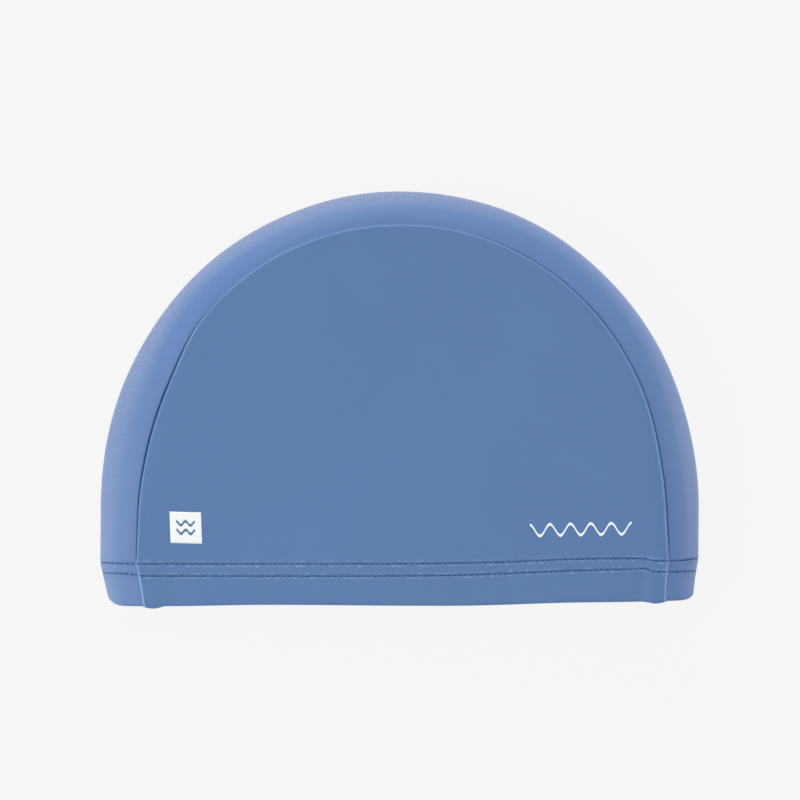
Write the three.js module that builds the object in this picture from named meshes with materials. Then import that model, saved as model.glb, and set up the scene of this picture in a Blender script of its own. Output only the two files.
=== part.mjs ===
// Swim cap sewn from three pieces of stretch knit: two flat side panels and a centre strip that
// runs from the front hem over the crown to the back hem. The cap lies on one side panel, as it
// does on a table, with the strip folded round its edge and the mouth open.
// Millimetres. +X runs from the front to the back of the cap, +Y from the hem to the crown, +Z up.
// The origin is at the middle of the footprint, on the surface that the cap lies on.
import * as THREE from "three";

// Outline of the cap, seen from above
const CAP_LENGTH = 239.2; // front fold to back fold
const CAP_HEIGHT = 165.6; // hem edge to crown
const SIDE_STRAIGHT = 39.2; // height at which the front and the back start to curve over
const CROWN_FULLNESS = 2.025; // 2 is an ellipse, more is squarer
const CROWN_BACK = 1; // the crown's highest point lies this much behind the middle

// Thickness of the lying cap
const CAP_THICKNESS = 22; // table to upper seam
const FOLD_HEIGHT = 9.9; // table to the outermost line of the centre strip
const PANEL_SAG = 2.4; // the upper panel's middle below its seam

// Fabric
const FABRIC = 1.1; // one layer of coated knit
const SEAM_GAP = 0.3; // clearance between sewn pieces
const SEAM_ROLL = 0.8; // width over which an edge turns down into the seam
const SEAM_EASE = 2.4; // width over which the strip's wall turns from the panel's plane to its own
const SEAM_GROOVE = 0.45; // depth of that turn

// Centre strip
const STRIP_SHOWN = 13.6; // how far the strip reaches past a seam, seen from above
const UPPER_SLOPE = 35; // degrees of the fold's arc already turned at the upper seam
const UNDER_SLOPE = 12; // the same at the under seam, which lies flat

// Turned-in hem
const HEM_DEPTH = 18; // width of fabric turned in
const HEM_THICKNESS = 2.4; // two layers and the elastic between them
const HEM_EDGE = 0.9; // height over which the folded edge is rounded
const HEM_EDGE_DRAW = 0.3; // each face draws in there by this share of the hem's thickness
const HEM_RAW_EDGE = 0.8; // width of the sloping raw edge inside
const HEM_TUCK = 0.9; // the stitching pulls the strip in by this much
const TUCK_START = 0.75; // share of HEM_DEPTH above which that pull dies out
const HEM_LEAN = { front: 2.4, back: 1.7 }; // further pull towards the hem edge
const LEAN_CURVE = 1.6; // 1 leans evenly, more leans mostly near the edge
const HEM_CORNER = 2.8; // the strip's edge rises by this much at its fold
const CORNER_CURVE = 8; // more makes that corner tighter
const HEM_LIFT = 2.4; // the back end of the hem lies this much nearer the crown
const LIFT_REACH = 70; // height at which that lift has died out

// Seam allowance: the joined edges, turned in behind the panels
const ALLOWANCE_WIDTH = 7;
const ALLOWANCE_THICKNESS = 1.4;
const ALLOWANCE_INSET = 0.8; // from the seam line
const HEM_BUMP = 0.9; // it pushes the hem edge out by this much
const HEM_RIDGE = 0.5; // and the hem's face up by this much

// Prints on the upper panel. fromFront and fromBack are from the front and the back of the cap
// to the print's middle, up is from the hem edge, and turn is in degrees.
const PRINT_THICKNESS = 0.4;
const PRINT_GAP = 0.3;
const SQUARE = { side: 12.5, fromFront: 34.2, up: 31.2, turn: -2 };
const SQUARE_WAVE = { length: 7.6, swing: 0.8, width: 1.2, waves: 2, spread: 3.4 };
const WAVE = { length: 40.6, swing: 2.3, width: 1.2, waves: 5, fromBack: 47.4, up: 30.2, turn: 0.8 };

// The strip along the outline, from the front hem (0) to the back hem (1): how far it reaches
// past the upper and the under seam, as shares of STRIP_SHOWN, and the thickness of the cap
// there, as a share of CAP_THICKNESS.
const STRIP_ALONG = [
  { along: 0.0, upper: 0.96, under: 0.97, thick: 0.9 },
  { along: 0.03, upper: 1.07, under: 0.93, thick: 0.93 },
  { along: 0.08, upper: 1.13, under: 0.9, thick: 0.97 },
  { along: 0.14, upper: 1.23, under: 0.84, thick: 1.0 },
  { along: 0.215, upper: 1.22, under: 0.85, thick: 1.0 },
  { along: 0.27, upper: 1.05, under: 0.96, thick: 1.0 },
  { along: 0.35, upper: 1.0, under: 1.0, thick: 0.98 },
  { along: 0.5, upper: 0.99, under: 1.02, thick: 0.97 },
  { along: 0.8, upper: 1.0, under: 1.0, thick: 1.0 },
  { along: 0.87, upper: 1.04, under: 0.98, thick: 0.99 },
  { along: 0.945, upper: 0.93, under: 1.04, thick: 0.95 },
  { along: 1.0, upper: 0.83, under: 1.02, thick: 0.9 },
];

// The hem edge from the front end (-1) to the back end (1), as shares of HEM_LIFT.
const HEM_LINE = [
  { along: -1, lift: 0 },
  { along: -0.75, lift: 0 },
  { along: -0.45, lift: 0.2 },
  { along: 0, lift: 0.05 },
  { along: 0.25, lift: 0.08 },
  { along: 0.55, lift: 0.55 },
  { along: 0.75, lift: 0.7 },
  { along: 1, lift: 1 },
];

// Relief of the seam allowance under the hem, by distance from the seam as a share of
// ALLOWANCE_WIDTH: height is a share of HEM_RIDGE and push a share of HEM_BUMP.
const HEM_RELIEF = [
  { away: 0, height: 0.3, push: 0.7 },
  { away: 0.35, height: 1, push: 1 },
  { away: 0.9, height: 1, push: 1 },
  { away: 1.4, height: 0, push: 0 },
];

// How finely the curves are divided
const ARC_STATIONS = 42; // along the outline, between the two ends of the hem
const PANEL_RINGS = 5; // from the panel's middle to where the seam's relief starts
const STRIP_STEPS = 6; // from a seam to the fold
const TRACE_STEPS = 240;
const PRINT_STEPS = 8; // along one wave

const HALF_LENGTH = CAP_LENGTH / 2;
const MIDDLE_HEIGHT = (CAP_HEIGHT - HEM_BUMP) / 2;
const HEM_ROWS = [0, HEM_EDGE, HEM_DEPTH / 3, (2 * HEM_DEPTH) / 3, HEM_DEPTH - HEM_RAW_EDGE, HEM_DEPTH];

const lerp = THREE.MathUtils.lerp;
const radians = THREE.MathUtils.degToRad;
const smooth = (value, low, high) => THREE.MathUtils.smoothstep(value, low, high);

// Value of a table's column at a place, on a smooth curve through its rows.
function tableAt(table, key, column, place) {
  let row = table.findIndex((entry, i) => i > 0 && entry[key] >= place);
  if (row < 0) row = table.length - 1;
  const at = (i) => table[THREE.MathUtils.clamp(i, 0, table.length - 1)];
  const slope = (i) => (at(i + 1)[column] - at(i - 1)[column]) / (at(i + 1)[key] - at(i - 1)[key]);
  const start = at(row - 1);
  const end = at(row);
  const span = end[key] - start[key];
  const t = THREE.MathUtils.clamp((place - start[key]) / span, 0, 1);
  const t2 = t * t;
  const t3 = t2 * t;
  return (
    (2 * t3 - 3 * t2 + 1) * start[column] +
    (t3 - 2 * t2 + t) * span * slope(row - 1) +
    (3 * t2 - 2 * t3) * end[column] +
    (t3 - t2) * span * slope(row)
  );
}

// The outline's straight front, superelliptic crown and straight back, as points with outward
// normals and their share of the whole length. Heights count from the hem edge.
function traceOutline() {
  const rise = CAP_HEIGHT - SIDE_STRAIGHT;
  const trace = [{ x: -HALF_LENGTH, up: 0, nx: -1, nup: 0 }];
  for (let i = 0; i <= TRACE_STEPS; i++) {
    const turn = (Math.PI * i) / TRACE_STEPS;
    const across = Math.abs(Math.cos(turn)) ** (2 / CROWN_FULLNESS) * (i * 2 < TRACE_STEPS ? -1 : 1);
    const over = Math.sin(turn) ** (2 / CROWN_FULLNESS);
    const reach = HALF_LENGTH - Math.sign(across) * CROWN_BACK;
    const nx = (Math.sign(across) * Math.abs(across) ** (CROWN_FULLNESS - 1)) / reach;
    const nup = over ** (CROWN_FULLNESS - 1) / rise;
    const size = Math.hypot(nx, nup);
    const x = CROWN_BACK + reach * across;
    trace.push({ x, up: SIDE_STRAIGHT + rise * over, nx: nx / size, nup: nup / size });
  }
  trace.push({ x: HALF_LENGTH, up: 0, nx: 1, nup: 0 });
  let length = 0;
  trace.forEach((point, i) => {
    if (i > 0) length += Math.hypot(point.x - trace[i - 1].x, point.up - trace[i - 1].up);
    point.length = length;
  });
  trace.forEach((point) => (point.along = point.length / length));
  return trace;
}

const OUTLINE = traceOutline();
const OUTLINE_LENGTH = OUTLINE[OUTLINE.length - 1].length;

// How far the hem's stitching and elastic pull the strip in at a height.
function hemPull(up, end) {
  const tuck = HEM_TUCK * (1 - smooth(up, HEM_DEPTH * TUCK_START, HEM_DEPTH));
  return tuck + HEM_LEAN[end] * Math.max(0, 1 - up / HEM_DEPTH) ** LEAN_CURVE;
}

// A station of the strip: its place on the outline, and what the table says there.
function stationAt(along) {
  let i = OUTLINE.findIndex((point, n) => n > 0 && point.along >= along);
  if (i < 0) i = OUTLINE.length - 1;
  const from = OUTLINE[i - 1];
  const to = OUTLINE[i];
  const t = (along - from.along) / (to.along - from.along);
  const normal = new THREE.Vector2(lerp(from.nx, to.nx, t), lerp(from.nup, to.nup, t)).normalize();
  const up = lerp(from.up, to.up, t);
  const pull = Math.sign(normal.x) * hemPull(up, along < 0.5 ? "front" : "back");
  return {
    up,
    normal,
    edge: new THREE.Vector2(lerp(from.x, to.x, t) - pull, up),
    upper: STRIP_SHOWN * tableAt(STRIP_ALONG, "along", "upper", along),
    under: STRIP_SHOWN * tableAt(STRIP_ALONG, "along", "under", along),
    thick: CAP_THICKNESS * tableAt(STRIP_ALONG, "along", "thick", along),
  };
}

const HEM_SHARE = HEM_DEPTH / OUTLINE_LENGTH;
const frontHem = HEM_ROWS.map((up) => stationAt(up / OUTLINE_LENGTH));
const backHem = HEM_ROWS.map((up) => stationAt(1 - up / OUTLINE_LENGTH));
const arc = Array.from({ length: ARC_STATIONS + 1 }, (_, i) =>
  stationAt(lerp(HEM_SHARE, 1 - HEM_SHARE, i / ARC_STATIONS)),
);
const stations = [...frontHem.slice(0, -1), ...arc, ...backHem.slice(0, -1).reverse()];

// A place on the flat pattern, and a height over the table, as a point of the model.
function place(x, up, z, push = 0) {
  const lift = HEM_LIFT * tableAt(HEM_LINE, "along", "lift", x / HALF_LENGTH);
  const fade = Math.max(0, 1 - up / LIFT_REACH) ** 2;
  return new THREE.Vector3(x, up + lift * fade - push - MIDDLE_HEIGHT, z);
}

// A closed sheet: the outer and inner faces have the same triangles, and a rim joins them.
function sheetGeometry(outer, inner, triangles) {
  const count = outer.length;
  const index = [];
  const edges = new Map();
  for (const [a, b, c] of triangles) {
    index.push(a, b, c, a + count, c + count, b + count);
    for (const [from, to] of [[a, b], [b, c], [c, a]]) edges.set(from + "," + to, [from, to]);
  }
  for (const [from, to] of edges.values()) {
    if (edges.has(to + "," + from)) continue;
    index.push(to, from, from + count, to, from + count, to + count);
  }
  const geometry = new THREE.BufferGeometry();
  geometry.setFromPoints([...outer, ...inner]);
  geometry.setIndex(index);
  geometry.computeVertexNormals();
  return geometry;
}

// Triangles of a grid of rows, all with the same number of points.
function gridTriangles(rows, columns) {
  const triangles = [];
  for (let r = 0; r + 1 < rows; r++) {
    for (let c = 0; c + 1 < columns; c++) {
      const a = r * columns + c;
      const b = a + columns;
      triangles.push([a, a + 1, b + 1], [a, b + 1, b]);
    }
  }
  return triangles;
}

// Share of the hem's two layers at a height: 1 inside the hem, 0 above its raw edge.
const hemLayers = (up) => 1 - smooth(up, HEM_DEPTH - HEM_RAW_EDGE, HEM_DEPTH);
const wallAt = (up) => lerp(FABRIC, HEM_THICKNESS, hemLayers(up));
// Near the folded hem edge each face draws in by this share of the wall.
const edgeDraw = (up) => HEM_EDGE_DRAW * Math.max(0, 1 - up / HEM_EDGE);
// An edge turns down into its seam over the last stretch.
const seamTurn = (away) => SEAM_GROOVE * Math.max(0, 1 - away / SEAM_ROLL) ** 2;

// A side panel's seam point at a station.
function seamPoint(station, side) {
  return station.edge.clone().addScaledVector(station.normal, -station[side]);
}

const hemMiddle = (row, side) => seamPoint(frontHem[row], side).lerp(seamPoint(backHem[row], side), 0.5);
const PANEL_MIDDLE_Z = (frontHem[0].thick + backHem[0].thick) / 2 - PANEL_SAG;

// The panel's points on the line from its middle to a seam point, and how far each is from the seam.
function panelLine(middle, station, side) {
  const seam = seamPoint(station, side).addScaledVector(station.normal, -SEAM_GAP);
  const length = seam.distanceTo(middle);
  const relief = HEM_RELIEF.slice(1).map((row) => row.away * ALLOWANCE_WIDTH).reverse();
  const aways = [...relief, SEAM_ROLL, 0];
  const flat = length - relief[0];
  for (let ring = PANEL_RINGS - 1; ring >= 0; ring--) aways.unshift(length - (flat * ring) / PANEL_RINGS);
  return aways.map((away) => {
    const share = 1 - away / length;
    return { spot: middle.clone().lerp(seam, share), away, share, station };
  });
}

// Outer height of a panel: the under one lies flat, the upper one sags between its seams.
function panelHeight(side, share, station) {
  return side === "under" ? 0 : lerp(PANEL_MIDDLE_Z, station.thick, share * share);
}

// Outer and inner points of a panel at one place of a panel line.
function panelPoints(side, { spot, away, share, station }) {
  const upwards = side === "under" ? -1 : 1;
  const near = away / ALLOWANCE_WIDTH;
  const hem = hemLayers(spot.y);
  const ridge = HEM_RIDGE * tableAt(HEM_RELIEF, "away", "height", near) * hem;
  const pushed = Math.max(0, 1 - spot.y / (HEM_DEPTH / 2));
  const push = HEM_BUMP * tableAt(HEM_RELIEF, "away", "push", near) * pushed;
  const wall = wallAt(spot.y);
  const draw = edgeDraw(spot.y) * wall;
  const face = panelHeight(side, share, station);
  const outerRidge = side === "under" ? 0 : ridge;
  const innerRidge = side === "under" ? ridge : 0;
  const outer = face + upwards * (outerRidge - seamTurn(away) - draw);
  const inner = face - upwards * (wall + innerRidge - draw);
  return {
    outer: place(spot.x, spot.y, outer, push),
    inner: place(spot.x, spot.y, inner, push),
  };
}

// A side panel: hem rows across the bottom, and above them a fan of lines from its middle to the seam.
function sidePanel(side) {
  const outer = [];
  const inner = [];
  const triangles = [];
  const add = (at) => {
    const made = panelPoints(side, at);
    outer.push(made.outer);
    inner.push(made.inner);
    return outer.length - 1;
  };
  const rows = HEM_ROWS.map((_, row) => {
    const middle = hemMiddle(row, side);
    const front = panelLine(middle, frontHem[row], side);
    const back = panelLine(middle, backHem[row], side);
    return [...front.slice(1).reverse(), ...back].map(add);
  });
  for (let r = 0; r + 1 < rows.length; r++) {
    for (let c = 0; c + 1 < rows[r].length; c++) {
      const [a, b, d, e] = [rows[r][c], rows[r][c + 1], rows[r + 1][c], rows[r + 1][c + 1]];
      triangles.push([a, b, e], [a, e, d]);
    }
  }
  const top = rows[rows.length - 1];
  const centre = (top.length - 1) / 2;
  const middle = hemMiddle(HEM_ROWS.length - 1, side);
  const lines = arc.slice(1, -1).map((station) => {
    const points = panelLine(middle, station, side);
    return [top[centre], ...points.slice(1).map(add)];
  });
  lines.unshift(top.slice(0, centre + 1).reverse());
  lines.push(top.slice(centre));
  for (let n = 0; n + 1 < lines.length; n++) {
    const [here, next] = [lines[n], lines[n + 1]];
    triangles.push([here[0], next[1], here[1]]);
    for (let k = 1; k + 1 < here.length; k++) {
      triangles.push([here[k], next[k], next[k + 1]], [here[k], next[k + 1], here[k + 1]]);
    }
  }
  if (side === "under") triangles.forEach((t) => t.reverse());
  return sheetGeometry(outer, inner, triangles);
}

// Half of the strip's section at a station, from a seam to the fold: how far out each point lies
// from the seam, its height, and the tilt of its outward normal from straight up.
function stripHalf(station, side) {
  const under = side === "under";
  const reach = station[side];
  const start = radians(under ? UNDER_SLOPE : UPPER_SLOPE);
  const height = under ? FOLD_HEIGHT : station.thick - FOLD_HEIGHT;
  const wide = reach / (1 - Math.sin(start));
  const tall = height / Math.cos(start);
  const rolled = Math.asin(Math.sin(start) + SEAM_ROLL / wide);
  const steps = Array.from({ length: STRIP_STEPS + 1 }, (_, i) => i / STRIP_STEPS);
  const turns = [start, ...steps.map((step) => lerp(rolled, Math.PI / 2, step))];
  return turns.map((turn) => {
    const away = wide * (Math.sin(turn) - Math.sin(start));
    const slope = Math.atan2(tall * Math.sin(turn), wide * Math.cos(turn));
    const lean = slope * smooth(away, 0, SEAM_EASE);
    const rise = tall * Math.cos(turn) - seamTurn(away);
    return {
      away,
      out: away - reach,
      z: under ? FOLD_HEIGHT - rise : FOLD_HEIGHT + rise,
      tilt: under ? Math.PI - lean : lean,
      corner: away / reach,
    };
  });
}

// The centre strip: a section of two halves at every station.
function centreStrip() {
  const outer = [];
  const inner = [];
  let columns = 0;
  for (const station of stations) {
    const upper = stripHalf(station, "upper");
    const under = stripHalf(station, "under");
    const section = [...upper, ...under.slice(0, -1).reverse()];
    columns = section.length;
    const wall = wallAt(station.up);
    const draw = edgeDraw(station.up) * wall;
    const hemShare = Math.max(0, 1 - station.up / HEM_DEPTH) ** 2;
    for (const at of section) {
      const climb = HEM_CORNER * at.corner ** CORNER_CURVE * hemShare;
      const point = (depth) => {
        const out = at.out - depth * Math.sin(at.tilt);
        const spot = station.edge.clone().addScaledVector(station.normal, out);
        return place(spot.x, spot.y + climb, at.z - depth * Math.cos(at.tilt));
      };
      outer.push(point(draw));
      inner.push(point(wall - draw));
    }
  }
  const triangles = gridTriangles(stations.length, columns);
  return sheetGeometry(outer, inner, triangles.map((t) => t.reverse()));
}

// A seam allowance: a narrow band behind a panel's edge, from hem to hem.
function seamAllowance(side) {
  const outer = [];
  const inner = [];
  const upwards = side === "under" ? -1 : 1;
  const middle = hemMiddle(HEM_ROWS.length - 1, side);
  const gap = FABRIC + SEAM_GAP;
  const ends = [0, arc.length - 1];
  arc.forEach((station, i) => {
    const seam = seamPoint(station, side);
    for (const away of [ALLOWANCE_INSET + ALLOWANCE_WIDTH, ALLOWANCE_INSET]) {
      const share = 1 - away / seam.distanceTo(middle);
      const spot = seam.clone().addScaledVector(station.normal, -away);
      if (ends.includes(i)) spot.y += SEAM_GAP;
      const face = panelHeight(side, share, station);
      outer.push(place(spot.x, spot.y, face - upwards * gap));
      inner.push(place(spot.x, spot.y, face - upwards * (gap + ALLOWANCE_THICKNESS)));
    }
  });
  const triangles = gridTriangles(arc.length, 2);
  if (side === "upper") triangles.forEach((t) => t.reverse());
  return sheetGeometry(outer, inner, triangles);
}

// Height of the upper panel's face over a place on the pattern, above the hem and clear of the seams.
function upperFaceHeight(x, up) {
  const middle = hemMiddle(HEM_ROWS.length - 1, "upper");
  const spot = new THREE.Vector2(x, up).sub(middle);
  const seams = arc.map((station) => seamPoint(station, "upper").sub(middle));
  const turn = (line) => Math.atan2(line.y, -line.x);
  const next = Math.max(1, seams.findIndex((seam) => turn(seam) >= turn(spot)));
  const t = (turn(spot) - turn(seams[next - 1])) / (turn(seams[next]) - turn(seams[next - 1]));
  const reach = lerp(seams[next - 1].length(), seams[next].length(), t);
  const thick = lerp(arc[next - 1].thick, arc[next].thick, t);
  return panelHeight("upper", spot.length() / reach, { thick });
}

// Outline of a wavy ribbon, from its lower edge round to its upper edge.
function waveOutline({ length, swing, width, waves }, lift = 0) {
  const count = waves * PRINT_STEPS;
  const edge = (offset) =>
    Array.from({ length: count + 1 }, (_, i) => {
      const t = i / count;
      const rise = swing * Math.cos(2 * Math.PI * waves * t);
      return new THREE.Vector2(length * (t - 0.5), lift + rise + offset);
    });
  return [...edge(-width / 2), ...edge(width / 2).reverse()];
}

// A print: a thin flat shape that follows the upper panel's face.
function printGeometry(shape, x, { up, turn }) {
  const geometry = new THREE.ExtrudeGeometry(shape, { depth: PRINT_THICKNESS, bevelEnabled: false });
  geometry.rotateZ(radians(turn));
  const position = geometry.getAttribute("position");
  for (let i = 0; i < position.count; i++) {
    const spot = new THREE.Vector2(x + position.getX(i), up + position.getY(i));
    const at = place(spot.x, spot.y, upperFaceHeight(spot.x, spot.y) + PRINT_GAP + position.getZ(i));
    position.setXYZ(i, at.x, at.y, at.z);
  }
  return geometry;
}

// A square print with two waves left open in it.
function squarePrint() {
  const half = SQUARE.side / 2;
  const shape = new THREE.Shape([
    new THREE.Vector2(-half, -half),
    new THREE.Vector2(half, -half),
    new THREE.Vector2(half, half),
    new THREE.Vector2(-half, half),
  ]);
  for (const lift of [-SQUARE_WAVE.spread / 2, SQUARE_WAVE.spread / 2]) {
    shape.holes.push(new THREE.Path(waveOutline(SQUARE_WAVE, lift)));
  }
  return printGeometry(shape, SQUARE.fromFront - HALF_LENGTH, SQUARE);
}

// A wavy line.
function wavePrint() {
  return printGeometry(new THREE.Shape(waveOutline(WAVE)), HALF_LENGTH - WAVE.fromBack, WAVE);
}

const panelFabric = new THREE.MeshStandardMaterial({ color: 0x5f80b0, roughness: 0.75, metalness: 0 });
const stripFabric = new THREE.MeshStandardMaterial({ color: 0x6f8fc4, roughness: 0.65, metalness: 0 });
const printInk = new THREE.MeshStandardMaterial({ color: 0xe8f0ec, roughness: 0.5, metalness: 0 });

const cap = new THREE.Group();

function addPiece(name, geometry, material) {
  const mesh = new THREE.Mesh(geometry, material);
  mesh.name = name;
  cap.add(mesh);
}

addPiece("upper_side_panel", sidePanel("upper"), panelFabric);
addPiece("under_side_panel", sidePanel("under"), panelFabric);
addPiece("centre_strip", centreStrip(), stripFabric);
addPiece("upper_seam_allowance", seamAllowance("upper"), panelFabric);
addPiece("under_seam_allowance", seamAllowance("under"), panelFabric);
addPiece("square_print", squarePrint(), printInk);
addPiece("wave_print", wavePrint(), printInk);

export default cap;
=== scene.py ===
# A swim cap of stretch knit that lies on one side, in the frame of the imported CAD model.
# Pattern sizes are in millimetres, x from front to back and up from the hem to the crown, and are
# turned into metres where a mesh is made.
import math

import bpy
import numpy as np
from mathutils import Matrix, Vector


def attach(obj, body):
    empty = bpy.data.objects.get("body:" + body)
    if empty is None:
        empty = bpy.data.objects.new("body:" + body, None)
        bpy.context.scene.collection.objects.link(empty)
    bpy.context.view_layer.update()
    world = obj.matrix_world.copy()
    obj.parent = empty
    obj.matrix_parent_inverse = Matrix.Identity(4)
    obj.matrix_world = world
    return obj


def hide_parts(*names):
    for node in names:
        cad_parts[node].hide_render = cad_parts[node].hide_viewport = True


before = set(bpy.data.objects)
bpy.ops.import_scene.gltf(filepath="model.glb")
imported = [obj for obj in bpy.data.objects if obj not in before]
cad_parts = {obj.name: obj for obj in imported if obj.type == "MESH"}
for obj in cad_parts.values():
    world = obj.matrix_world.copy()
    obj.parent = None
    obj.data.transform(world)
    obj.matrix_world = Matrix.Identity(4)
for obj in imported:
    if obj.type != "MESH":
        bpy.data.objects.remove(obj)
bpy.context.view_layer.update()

# Side panels: two D-shaped pieces of smooth coated knit, one for each side of the head. The lower
# edge is turned in over a flat elastic and sewn down with two rows of stitches, and the curved
# edge is sewn to the centre strip, where it rolls down into the seam.
CAP_LENGTH = 239.2
CAP_HEIGHT = 165.6
SIDE_STRAIGHT = 39.2
CROWN_FULLNESS = 2.025
CROWN_BACK = 1
HALF_LENGTH = CAP_LENGTH / 2


def trace_outline(steps=2400):
    """The cap's outline as x, up, outward normal and length from the front end of the hem."""
    rise = CAP_HEIGHT - SIDE_STRAIGHT
    turn = np.pi * np.arange(steps + 1) / steps
    across = np.abs(np.cos(turn)) ** (2 / CROWN_FULLNESS) * np.where(turn < np.pi / 2, -1, 1)
    over = np.sin(turn).clip(0) ** (2 / CROWN_FULLNESS)
    reach = HALF_LENGTH - np.sign(across) * CROWN_BACK
    out_x = np.sign(across) * np.abs(across) ** (CROWN_FULLNESS - 1) / reach
    out_up = over ** (CROWN_FULLNESS - 1) / rise
    size = np.hypot(out_x, out_up)
    x = np.r_[-HALF_LENGTH, CROWN_BACK + reach * across, HALF_LENGTH]
    up = np.r_[0, SIDE_STRAIGHT + rise * over, 0]
    length = np.r_[0, np.cumsum(np.hypot(np.diff(x), np.diff(up)))]
    return x, up, np.r_[-1, out_x / size, 1], np.r_[0, out_up / size, 0], length


OUTLINE = trace_outline()
OUTLINE_LENGTH = OUTLINE[4][-1]


def smoothstep(value, low, high):
    """Eases from 0 at low to 1 at high."""
    t = np.clip((value - low) / (high - low), 0, 1)
    return t * t * (3 - 2 * t)


def through(rows, place):
    """Value at a place, on a smooth curve through a table's rows."""
    keys = np.array([row[0] for row in rows], float)
    values = np.array([row[1] for row in rows], float)
    last = len(rows) - 1
    end = np.clip(np.searchsorted(keys, place, side="left"), 1, last)

    def slope(row):
        before, after = np.clip(row - 1, 0, last), np.clip(row + 1, 0, last)
        return (values[after] - values[before]) / (keys[after] - keys[before])

    start = end - 1
    span = keys[end] - keys[start]
    t = np.clip((place - keys[start]) / span, 0, 1)
    return (
        (2 * t**3 - 3 * t**2 + 1) * values[start]
        + (t**3 - 2 * t**2 + t) * span * slope(start)
        + (3 * t**2 - 2 * t**3) * values[end]
        + (t**3 - t**2) * span * slope(end)
    )


CAP_THICKNESS = 22
STRIP_SHOWN = 13.6
HEM_DEPTH = 18
# How far the outline draws in at the hem: by HEM_TUCK all over it, and by HEM_LEAN more towards its
# edge, at the front and at the back.
HEM_TUCK = 0.9
HEM_LEAN = (2.4, 1.25)
LEAN_CURVE = 1.6
# Along the outline from the front hem (0) to the back hem (1): how far the strip reaches past the
# upper and the under seam, and the thickness there, as shares of STRIP_SHOWN and CAP_THICKNESS.
REACH_UPPER = [
    (0, 1.05), (0.03, 1.07), (0.08, 1.13), (0.14, 1.23), (0.215, 1.22), (0.27, 1.05),
    (0.35, 1), (0.5, 0.99), (0.8, 1), (0.87, 1.04), (0.945, 0.93), (1, 0.83),
]
REACH_UNDER = [
    (0, 0.97), (0.03, 0.93), (0.08, 0.9), (0.14, 0.84), (0.215, 0.85), (0.27, 0.96),
    (0.35, 1), (0.5, 1.02), (0.8, 1), (0.87, 0.98), (0.945, 1.04), (1, 1.02),
]
THICKNESS = [
    (0, 0.9), (0.03, 0.93), (0.08, 0.97), (0.14, 1), (0.27, 1),
    (0.35, 0.98), (0.5, 0.97), (0.8, 1), (0.87, 0.99), (0.945, 0.95), (1, 0.9),
]


def station(along):
    """The strip's fold, its outward normal, and what the tables say at shares of the outline."""
    x, up, out_x, out_up = (np.interp(along * OUTLINE_LENGTH, OUTLINE[4], row) for row in OUTLINE[:4])
    size = np.hypot(out_x, out_up)
    out_x, out_up = out_x / size, out_up / size
    tuck = HEM_TUCK * (1 - smoothstep(up, 0.35 * HEM_DEPTH, 1.1 * HEM_DEPTH))
    lean = np.where(along < 0.5, *HEM_LEAN) * np.maximum(0, 1 - up / HEM_DEPTH) ** LEAN_CURVE
    return {
        "along": along,
        "x": x - np.sign(out_x) * (tuck + lean),
        "up": up,
        "out": (out_x, out_up),
        "upper": STRIP_SHOWN * through(REACH_UPPER, along),
        "under": STRIP_SHOWN * through(REACH_UNDER, along),
        "thick": CAP_THICKNESS * through(THICKNESS, along),
    }


def seam_at(along, side, inside=0.0):
    """A seam's x and up at shares of the outline, or places further inside it."""
    at = station(along)
    back = at[side] + inside
    return at["x"] - at["out"][0] * back, at["up"] - at["out"][1] * back, at["thick"]


# The hem's edge isn't straight: it lifts off the base line, which raises the cloth up to LIFT_REACH,
# and it bulges down where a seam passes.
HEM_LIFT = 2.4
LIFT_REACH = 70
HEM_BUMP = 0.9
BASE_LINE = (CAP_HEIGHT - HEM_BUMP) / 2
# The hem edge's rise from the front end (-1) to the back end (1), as shares of HEM_LIFT.
HEM_LINE = [(-1, 0), (-0.75, 0), (-0.45, 0.2), (0, 0.05), (0.25, 0.08), (0.55, 0.55), (0.75, 0.7), (1, 1)]


def hem_lift(x, up):
    """How far the cloth is raised with the hem's edge, less so further up."""
    fade = np.maximum(0, 1 - np.maximum(0, up - HEM_DEPTH) / (LIFT_REACH - HEM_DEPTH)) ** 2
    return HEM_LIFT * through(HEM_LINE, x / HALF_LENGTH) * fade


def points(x, up, z, push=0.0):
    """Points of the model, in millimetres, from places on the pattern and heights."""
    return np.stack(np.broadcast_arrays(x, up + hem_lift(x, up) - push - BASE_LINE, z), -1)


# The upper panel sags between its seams, and each edge rolls down into its seam on this radius.
PANEL_SAG = 2.4
PANEL_MIDDLE_Z = CAP_THICKNESS * THICKNESS[0][1] - PANEL_SAG
SEAM_ROLL = 0.5


def panel_height(side, share, thick):
    """Outer height of a panel: the under one lies flat, the upper one sags between its seams."""
    if side == "under":
        return 0.0 * share
    return PANEL_MIDDLE_Z + (thick - PANEL_MIDDLE_Z) * share**2


def rolled(away, radius=SEAM_ROLL):
    """How far an edge has turned down into its seam."""
    left = np.clip(radius - away, 0, radius)
    return radius - np.sqrt(radius**2 - left**2)


# The two rows of hem stitches, as heights over the base line by x. The lower row's stitches lie half
# a stitch further on, and LOWER_SHIFT and STRIP_SHIFT give them and the strip's other strengths.
ROW_UPPER = [
    (-119, 17.3), (-103, 16.95), (8, 16.95), (42, 17.6), (67, 18.7), (92, 19.1), (98, 18.9),
    (101, 18.2), (107, 18.1), (113, 18.3), (119, 18.9),
]
ROW_LOWER = [
    (-119, 13.1), (-108, 12.9), (-102, 12.2), (-93, 12.1), (12, 12.1), (42, 13.0), (67, 14.1), (92, 14.8),
    (98, 15.0), (101, 13.9), (119, 13.8),
]
STITCH = 2.275
LOWER_SHIFT = 137.5
STRIP_SHIFT = 500
rng = np.random.default_rng(11)
STITCH_FORCE = rng.uniform(0.65, 1.35, 4096)
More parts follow.
